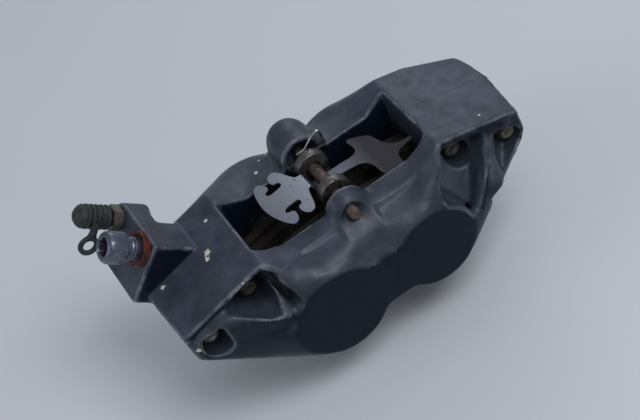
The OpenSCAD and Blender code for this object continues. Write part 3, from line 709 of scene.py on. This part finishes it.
def over_joint(bm):
    """Lets the casting run on a little past the joint, as its own mirror image, for a crisp cut later."""
    side = joint_side([v.co for v in bm.verts])
    copy = bm.copy()
    bmesh.ops.bisect_plane(copy, geom=whole(copy), dist=1e-7, plane_co=(0, side * OVERRUN * MM, 0),
            plane_no=(0, side, 0), clear_outer=True)
    bmesh.ops.holes_fill(copy, edges=[e for e in copy.edges if e.is_boundary])
    for vert in copy.verts:
        vert.co.y = -vert.co.y + side * OVERLAP * MM
    bmesh.ops.reverse_faces(copy, faces=copy.faces)
    bm.from_mesh(as_mesh(copy, "past_joint"))


def cut_at_joint(data):
    """Cuts the casting flat at the joint, which is left as a hairline."""
    bm = bmesh.new()
    bm.from_mesh(data)
    side = joint_side([v.co for v in bm.verts])
    bmesh.ops.bisect_plane(bm, geom=whole(bm), dist=1e-7, plane_co=(0, side * HAIRLINE * MM, 0),
            plane_no=(0, -side, 0), clear_outer=True)
    bmesh.ops.holes_fill(bm, edges=[e for e in bm.edges if e.is_boundary])
    bm.to_mesh(data)
    bm.free()
    return data


def casting(node, name, crease=0.0):
    """The casting with its edges rounded as they come from the mould, and slightly uneven skin."""
    bm = merged_copy(node)
    data = bpy.data.meshes.new(name)
    bm.to_mesh(data)
    if crease:
        data = reworked_flanks(data)
        bm.clear()
        bm.from_mesh(data)
    over_joint(bm)
    bm.to_mesh(data)
    bm.free()
    grain = sizes().grain * 1.0
    data = through_modifiers(name, data, ("REMESH", {"mode": "VOXEL", "voxel_size": grain}))
    smoothed(data, sizes().fillet_passes, lambda p: np.ones(len(p)))
    smoothed(data, sizes().mound_passes, mound_share)
    smoothed(data, sizes().flank_passes, flank_share)
    if crease:
        creased(data, crease)
    data = cut_at_joint(data)
    faces = 2 * len(data.polygons)
    if faces > FACE_LIMIT:
        data = through_modifiers(name, data, ("DECIMATE", {"ratio": (FACE_LIMIT - 2000) / faces}))
    return settle(name, data, "paint", "caliper_body", (node,), sharp=60.0)


class CALIPER_OT_castings(bpy.types.Operator):
    """Build both halves of the housing"""

    bl_idname = "caliper.castings"
    bl_label = "Castings"

    def execute(self, context):
        casting("outer_half", "outer_casting", sizes().crease)
        casting("inner_half", "inner_casting")
        return {"FINISHED"}


# ---- fasteners


def socket_head(seat, size):
    """Rings of a socket-head bolt's head, from its inner hexagon round to its seat."""
    top = -(seat + size)
    head, key = size * 0.8, size * 0.4
    floor = top + size * 0.5
    return [(key * 0.5, floor + 0.5), (key - 0.05, floor, 6), (key, top + 0.5, 6), (key + 0.45, top),
            (head - 0.7, top), (head - 0.12, top + 0.35), (head, top + 0.8), (head, -seat - 0.4),
            (head - 0.3, -seat)]


def joint_bolts(name, places, seat, tip, node):
    """Two socket-head bolts across the joint, with threads where their tips stand out."""
    bm = bmesh.new()
    extra = []
    shown = 3.4
    pitch = sizes().thread_pitch
    for x, z in places:
        core = 3.55
        rings = socket_head(seat, 8.0) + [(3.98, -seat + 0.02), (3.98, -tip - shown - 2.5),
                (core, -tip - shown - 2), (core, -tip - 0.9), (core - 0.5, -tip - 0.15), (core - 0.9, -tip),
                (2.0, -tip), (1.6, -tip - 0.25)]
        turned(bm, rings, along_y(x, z))
        turns = (shown + 1.2) * MM / pitch
        extra.append(grown(tree_of("thread"), {"Radius": core * MM, "Pitch": pitch, "Turns": turns,
                "Depth": 0.43 * MM, "Material": finish("bolts")}, along_y(x, z, tip + shown + 2.0)))
        extra.append(grown(tree_of("knurl"), {"Radius": 6.28 * MM, "Count": sizes().knurls,
                "Height": 5.6 * MM, "Width": 0.34 * MM, "Material": finish("bolts")},
                along_y(x, z, seat + 3.9)))
    piece(name, bm, "bolts", "caliper_body", (node,), extra=extra)


trees = {}


def tree_of(kind):
    """A Geometry Nodes tree, built once."""
    if kind not in trees:
        trees[kind] = {"thread": thread_tree, "knurl": knurl_tree, "rib": rib_tree}[kind]()
    return trees[kind]


class CALIPER_OT_bolts(bpy.types.Operator):
    """Build the four joint bolts"""

    bl_idname = "caliper.bolts"
    bl_label = "Joint bolts"

    def execute(self, context):
        joint_bolts("end_joint_bolts", END_BOLTS, END_SEAT, END_TIP, "end_bolts")
        joint_bolts("near_joint_bolts", NEAR_BOLTS, NEAR_SEAT, NEAR_TIP, "near_bolts")
        return {"FINISHED"}


# ---- pads


def eased(node, name, look, body, width):
    """A stamped or pressed piece with its corners eased."""
    bm = merged_copy(node)
    bmesh.ops.dissolve_limit(bm, angle_limit=math.radians(1), verts=bm.verts, edges=bm.edges)
    data = through_modifiers(name, as_mesh(bm, name), ("BEVEL", {"width": width * MM, "segments": 2,
            "limit_method": "ANGLE", "angle_limit": math.radians(40)}))
    return settle(name, data, look, body, (node,), sharp=50.0)


class CALIPER_OT_pads(bpy.types.Operator):
    """Build the two pads: their steel plates and friction linings"""

    bl_idname = "caliper.pads"
    bl_label = "Pads"

    def execute(self, context):
        for side in ("outer", "inner"):
            eased(side + "_pad_plate", side + "_stamped_plate", "plate", side + "_pad", 0.45)
            eased(side + "_pad_lining", side + "_friction_block", "lining", side + "_pad", 0.3)
        return {"FINISHED"}


# ---- pin, clip and spring


def swept_wire(bm, points, radius, sides=14):
    """Adds a round wire along points (Vectors in metres), with domed ends."""
    frames = []
    for i, spot in enumerate(points):
        ahead = points[min(i + 1, len(points) - 1)] - points[max(i - 1, 0)]
        frames.append((spot, ahead.normalized()))
    (start, way), (end, on) = frames[0], frames[-1]
    frames.insert(0, (start - way * radius * 0.6, way))
    frames.append((end + on * radius * 0.6, on))
    loops = []
    side = Vector((0, 1, 0))
    for k, (spot, ahead) in enumerate(frames):
        up = side.cross(ahead).normalized()
        across = ahead.cross(up).normalized()
        r = radius * (0.5 if k in (0, len(frames) - 1) else 1)
        loops.append([bm.verts.new(spot + r * (math.cos(a) * up + math.sin(a) * across))
                for a in (math.tau * i / sides for i in range(sides))])
    for low, high in zip(loops, loops[1:]):
        bridge(bm, low, high)
    bm.faces.new(reversed(loops[0]))
    bm.faces.new(loops[-1])


def rounded_path(corners, radius, steps=8):
    """The path through the corners, with each inner corner rounded."""
    out = [corners[0]]
    for before, here, after in zip(corners, corners[1:], corners[2:]):
        back, on = (before - here), (after - here)
        reach = min(radius, back.length * 0.45, on.length * 0.45)
        start, end = here + back.normalized() * reach, here + on.normalized() * reach
        for k in range(steps + 1):
            t = k / steps
            out.append(start.lerp(here, t).lerp(here.lerp(end, t), t))
    out.append(corners[-1])
    return out


class CALIPER_OT_pin(bpy.types.Operator):
    """Build the pad pin and the wire clip through it"""

    bl_idname = "caliper.pin"
    bl_label = "Pad pin and clip"

    def execute(self, context):
        bm = bmesh.new()
        worn = [(PIN_R, 6.9), (PIN_R - 0.12, 7.6), (PIN_R - 0.1, 11.6), (PIN_R, 12.4)]
        rings = [(1.4, -PIN_TIP + 0.05), (PIN_R - 0.1, -PIN_TIP + 0.05)] + [(radius, -height) for radius,
                height in reversed(worn)] + worn + [(PIN_R, PIN_TIP - 0.75), (PIN_R - 0.18, PIN_TIP - 0.3),
                (PIN_R - 0.6, PIN_TIP), (0.9, PIN_TIP), (0.7, PIN_TIP - 0.2)]
        turned(bm, rings, along_y(0, PIN_Z))
        piece("rusted_pad_pin", bm, "pin", "caliper_body", ("pad_pin",))
        bm = bmesh.new()
        corners = [Vector((x, CLIP_Y + 0.04 * i, z)) * MM for i, (x, z) in enumerate(CLIP_PATH)]
        swept_wire(bm, rounded_path(corners, 1.7 * MM), (CLIP_R - 0.02) * MM)
        piece("pin_wire_clip", bm, "wire", "caliper_body", ("pin_clip",), sharp=60)
        return {"FINISHED"}


def rounded_outline(corners, passes=2):
    """A closed outline with its corners cut again and again, so that it runs in smooth curves."""
    for _ in range(passes):
        corners = [a.lerp(b, t) for a, b in zip(corners, corners[1:] + corners[:1]) for t in (0.25, 0.75)]
    return corners


def spring_height(x, y):
    """Height of the spring's upper face: a raised head, a bend, and a low tail whose arms dip."""
    head = HEAD_TOP - 0.35 * ((x + 17) / 11) ** 2 - 0.25 * (y / 15) ** 2
    tail = TAIL_TOP - 0.9 * float(step(abs(y), 8, 15))
    low = float(step(x, -6.9, -3.4))
    return head * (1 - low) + tail * low


class CALIPER_OT_spring(bpy.types.Operator):
    """Build the leaf spring over the pads"""

    bl_idname = "caliper.spring"
    bl_label = "Leaf spring"

    def execute(self, context):
        turn = Matrix.Rotation(math.radians(HEAD_YAW), 2)
        side = [Vector(c) for c in HEAD_SIDE]
        head = side + [Vector((c.x, -c.y)) for c in reversed(side[:-1])]
        corners = [turn @ c + Vector((HEAD_X, 0)) for c in head] + [Vector(c) for c in TAIL]
        bm = bmesh.new()
        face = bm.faces.new([bm.verts.new((c.x, c.y, 0)) for c in rounded_outline(corners)])
        face.normal_update()
        if face.normal.z < 0:
            face.normal_flip()
        rim = list(bm.verts)
        bmesh.ops.inset_region(bm, faces=[face], thickness=0.3, use_even_offset=True)
        for vert in rim:
            vert.co.z = -EASE
        bmesh.ops.triangulate(bm, faces=bm.faces)
        # Cuts across the sheet, close together at the bend, and along it
        cuts = [((x * 0.3, 0, 0), (1, 0, 0)) for x in range(-25, -9)]
        cuts += [((x * 2.0, 0, 0), (1, 0, 0)) for x in range(-13, 20)]
        cuts += [((0, y, 0), (0, 1, 0)) for y in range(-14, 16, 2)]
        for spot, way in cuts:
            bmesh.ops.bisect_plane(bm, geom=whole(bm), plane_co=spot, plane_no=way)
        for vert in bm.verts:
            vert.co.z += spring_height(vert.co.x, vert.co.y)
            vert.co *= MM
        data = through_modifiers("leaf", as_mesh(bm, "leaf"), ("SOLIDIFY",
                {"thickness": SHEET * MM, "offset": -1.0}))
        leaf = settle("stamped_leaf_spring", data, "spring", "caliper_body", ("pad_spring",),
                sharp=30.0)
        # Painted highlight: the eased rim faces that look upwards, away from the bend, take the brighter edge
        # metal
        leaf.data.materials.append(finish("edge"))
        for strip in leaf.data.polygons:
            bend = -7.4 * MM < strip.center.x < -2.8 * MM
            strip.material_index = int(0.2 < strip.normal.z < 0.93 and not bend)
        return {"FINISHED"}


# ---- fittings


class CALIPER_OT_hose_bolt(bpy.types.Operator):
    """Build the hollow hose bolt and its two copper washers"""

    bl_idname = "caliper.hose_bolt"
    bl_label = "Hose bolt and washers"

    def execute(self, context):
        bm = bmesh.new()
        base, head, neck = 9.0, 6.6, 4.55
        top = base + 8.8
        rings = [(1.7, -8.9), (3.4, -8.9), (neck - 0.3, -8.2), (neck, -7.6), (neck, base - 1.4),
                (4.2, base - 1.0), (4.2, base - 0.2), (5.4, base), (head - 0.5, base),
                (head - 0.1, base + 0.35), (head, base + 0.9), (head, top - 2.4), (head - 0.25, top - 1.5),
                (head - 0.8, top - 0.75), (head - 1.6, top - 0.2), (head - 2.1, top), (4.15, top - 0.05),
                (3.5, top - 0.7, 6), (3.45, base + 1.8, 6), (2.4, base + 1.5)]
        turned(bm, rings, on_seat(HOSE_Y), segments=60)
        pitch = sizes().hose_pitch
        ridge = grown(tree_of("thread"), {"Radius": neck * MM, "Pitch": pitch, "Turns": 13.0 * MM / pitch,
                "Depth": 0.42 * MM, "Material": finish("zinc")},
                on_seat(HOSE_Y) @ Matrix.Translation((0, 0, -6.4 * MM)))
        piece("zinc_hose_bolt", bm, "zinc", "caliper_body", ("hose_bolt",), extra=(ridge,))

        bm = bmesh.new()
        inner, outer, ease = 5.12, 7.18, 0.28
        for low in (0.0, 1.5):
            outline = [(inner, low + 0.02), (outer - ease, low + 0.02), (outer, low + ease),
                    (outer, low + 1.46 - ease), (outer - ease, low + 1.46), (6.3, low + 1.46),
                    (6.1, low + 1.38), (inner, low + 1.4)]
            hollow_turned(bm, outline, on_seat(HOSE_Y), segments=72)
        piece("crushed_copper_washers", bm, "copper", "caliper_body", ("copper_washers",))
        return {"FINISHED"}


class CALIPER_OT_bleeder(bpy.types.Operator):
    """Build the bleed screw and its rubber cap"""

    bl_idname = "caliper.bleeder"
    bl_label = "Bleed screw and cap"

    def execute(self, context):
        seat = on_seat(BLEED_Y)
        bm = bmesh.new()
        flats = 4.76
        rings = [(0.5, -9.4), (1.4, -9.4), (3.4, -7.0), (3.98, -6.6), (3.98, 0.3), (4.4, 0.42),
                (flats, 0.8, 6), (flats, 4.6, 6), (4.3, 4.98), (3.2, 5.0), (2.7, 5.4), (2.6, 8.4),
                (3.48, 10.6), (3.3, 11.3), (2.7, 14.1), (2.2, 14.45), (1.0, 14.45), (0.9, 13.0)]
        turned(bm, rings, seat)
        piece("hex_bleed_screw", bm, "bolts", "bleed_screw", ("bleed_screw",), sharp=30)

        bm = bmesh.new()
        low, reach, body = 5.7, 14.8, 4.55
        top = low + reach
        outline = [(3.6, low + 0.1), (4.5, low + 0.1), (4.7, low + 0.4), (body, low + 0.9), (body, top - 4.6),
                (4.9, top - 4.0), (4.95, top - 2.9), (4.4, top - 1.8), (3.5, top - 0.9), (2.6, top - 0.2),
                (0.6, top - 0.06), (0.6, top - 1.2), (2.6, top - 2.0), (3.6, low + 9.6)]
        hollow_turned(bm, outline, seat, segments=60)
        ribs = grown(tree_of("rib"), {"Radius": 4.42 * MM, "Count": sizes().cap_ribs, "Pitch": 2.25 * MM,
                "Thickness": 0.76 * MM, "Material": finish("rubber")},
                seat @ Matrix.Translation((0, 0, (low + 0.9) * MM)))
        strap(bm, seat, low + 7)
        piece("ribbed_rubber_cap", bm, "rubber", "bleed_cap", ("bleed_cap",), sharp=45,
                extra=(ribs,))
        return {"FINISHED"}


def strap(bm, seat, height):
    """Adds the cap's rubber tail: a flat strap that flares into a ring."""
    place = seat @ Matrix.Translation((0, -5.1 * MM, height * MM)) @ Matrix.Rotation(math.radians(90), 4, "X")
    ring_x, outer, inner, half = -10.6, 4.5, 2.45, 0.82
    steps = 48
    section = ((inner, 0.5), (inner + 0.3, half), (outer - 0.35, half), (outer, 0.4), (outer, -0.4),
            (outer - 0.35, -half), (inner + 0.3, -half), (inner, -0.5))
    loops = []
    for i in range(steps):
        angle = math.tau * i / steps
        loops.append([bm.verts.new(place @ (Vector((ring_x + r * math.cos(angle), r * math.sin(angle),
                t)) * MM)) for r, t in section])
    for loop, after in zip(loops, loops[1:] + loops[:1]):
        bridge(bm, loop, after)
    tail = []
    for x, wide in ((-7.0, 2.6), (-6.2, 1.9), (-5.0, 1.6), (-2.5, 1.5), (0.0, 1.5)):
        tail.append([bm.verts.new(place @ (Vector((x, y * wide, t)) * MM)) for y, t in ((-1, -0.5),
                (-0.8, -0.8), (0.8, -0.8), (1, -0.5), (1, 0.5), (0.8, 0.8), (-0.8, 0.8), (-1, 0.5))])
    for low, high in zip(tail, tail[1:]):
        bridge(bm, low, high)
    bm.faces.new(reversed(tail[0]))
    bm.faces.new(tail[-1])


class CALIPER_OT_inner_parts(bpy.types.Operator):
    """Dress the pistons, seals and plugs inside the housing"""

    bl_idname = "caliper.inner_parts"
    bl_label = "Pistons and seals"

    def execute(self, context):
        looks = {"piston": "piston", "seals": "rubber", "rings": "rubber", "plugs": "bolts"}
        for name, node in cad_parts.items():
            for word, look in looks.items():
                if word in name:
                    node.data.materials.clear()
                    node.data.materials.append(finish(look))
        return {"FINISHED"}


# ---- stage


class CALIPER_OT_stage(bpy.types.Operator):
    """Set the floor, the lights and the camera"""

    bl_idname = "caliper.stage"
    bl_label = "Stage"

    def execute(self, context):
        scene = context.scene
        bm = bmesh.new()
        bmesh.ops.create_grid(bm, x_segments=1, y_segments=1, size=3.0)
        bmesh.ops.translate(bm, verts=bm.verts, vec=(0, 0, CAD_BOX[0][2] - FLOOR_GAP * MM))
        floor = linked("studio_floor", as_mesh(bm, "studio_floor"))
        floor.data.materials.append(finish("floor"))

        for i, (place, width, power, tone) in enumerate(SOFT_BOXES):
            lamp = bpy.data.lights.new(f"soft_box_{i}", "AREA")
            lamp.shape = "SQUARE"
            lamp.size = width
            lamp.energy = power
            lamp.color = rgb(tone)[:3]
            box = linked(f"soft_box_{i}", lamp)
            box.location = place
            aim = Vector(SOFT_BOX_AIM) - Vector(place)
            box.rotation_euler = aim.to_track_quat("-Z", "Y").to_euler()

        world = bpy.data.worlds.new("studio")
        world.use_nodes = True
        sky = world.node_tree.nodes["Background"].inputs
        sky["Color"].default_value = rgb(SKY)
        sky["Strength"].default_value = SKY_STRENGTH
        scene.world = world
        scene.view_settings.view_transform = "Standard"

        lens = bpy.data.cameras.new("camera")
        lens.sensor_width = SENSOR
        lens.lens = LENS
        lens.clip_start = 0.01
        camera = linked("camera", lens)
        ahead, right = Vector(CAMERA_AHEAD).normalized(), Vector(CAMERA_RIGHT)
        right = (right - ahead * right.dot(ahead)).normalized()
        up = right.cross(ahead)
        turn = Matrix((right, up, -ahead)).transposed().to_4x4()
        camera.matrix_world = Matrix.Translation(Vector(CAMERA_PLACE) * MM) @ turn
        scene.camera = camera
        return {"FINISHED"}


class CALIPER_PT_panel(bpy.types.Panel):
    """Lists the caliper's pieces"""

    bl_idname = "CALIPER_PT_panel"
    bl_label = "Brake caliper"
    bl_space_type = "VIEW_3D"
    bl_region_type = "UI"
    bl_category = "Caliper"

    def draw(self, context):
        for group in (context.scene.caliper_sizes, context.scene.caliper_colours):
            box = self.layout.box()
            for key in group.bl_rna.properties.keys():
                if key not in ("rna_type", "name"):
                    box.prop(group, key)
        for step_class in STEPS:
            self.layout.operator(step_class.bl_idname)


STEPS = (CALIPER_OT_stage, CALIPER_OT_castings, CALIPER_OT_bolts, CALIPER_OT_pads, CALIPER_OT_pin,
         CALIPER_OT_spring, CALIPER_OT_hose_bolt, CALIPER_OT_bleeder, CALIPER_OT_inner_parts)
CLASSES = (CaliperSizes, CaliperColours, CALIPER_PT_panel) + STEPS


def register():
    for item in CLASSES:
        bpy.utils.register_class(item)
    bpy.types.Scene.caliper_sizes = PointerProperty(type=CaliperSizes)
    bpy.types.Scene.caliper_colours = PointerProperty(type=CaliperColours)


def unregister():
    del bpy.types.Scene.caliper_colours
    del bpy.types.Scene.caliper_sizes
    for item in reversed(CLASSES):
        bpy.utils.unregister_class(item)


def main():
    """Builds everything."""
    register()
    bpy.ops.caliper.stage()
    bpy.ops.caliper.castings()
    bpy.ops.caliper.bolts()
    bpy.ops.caliper.pads()
    bpy.ops.caliper.pin()
    bpy.ops.caliper.spring()
    bpy.ops.caliper.hose_bolt()
    bpy.ops.caliper.bleeder()
    bpy.ops.caliper.inner_parts()


if __name__ == "__main__":
    main()
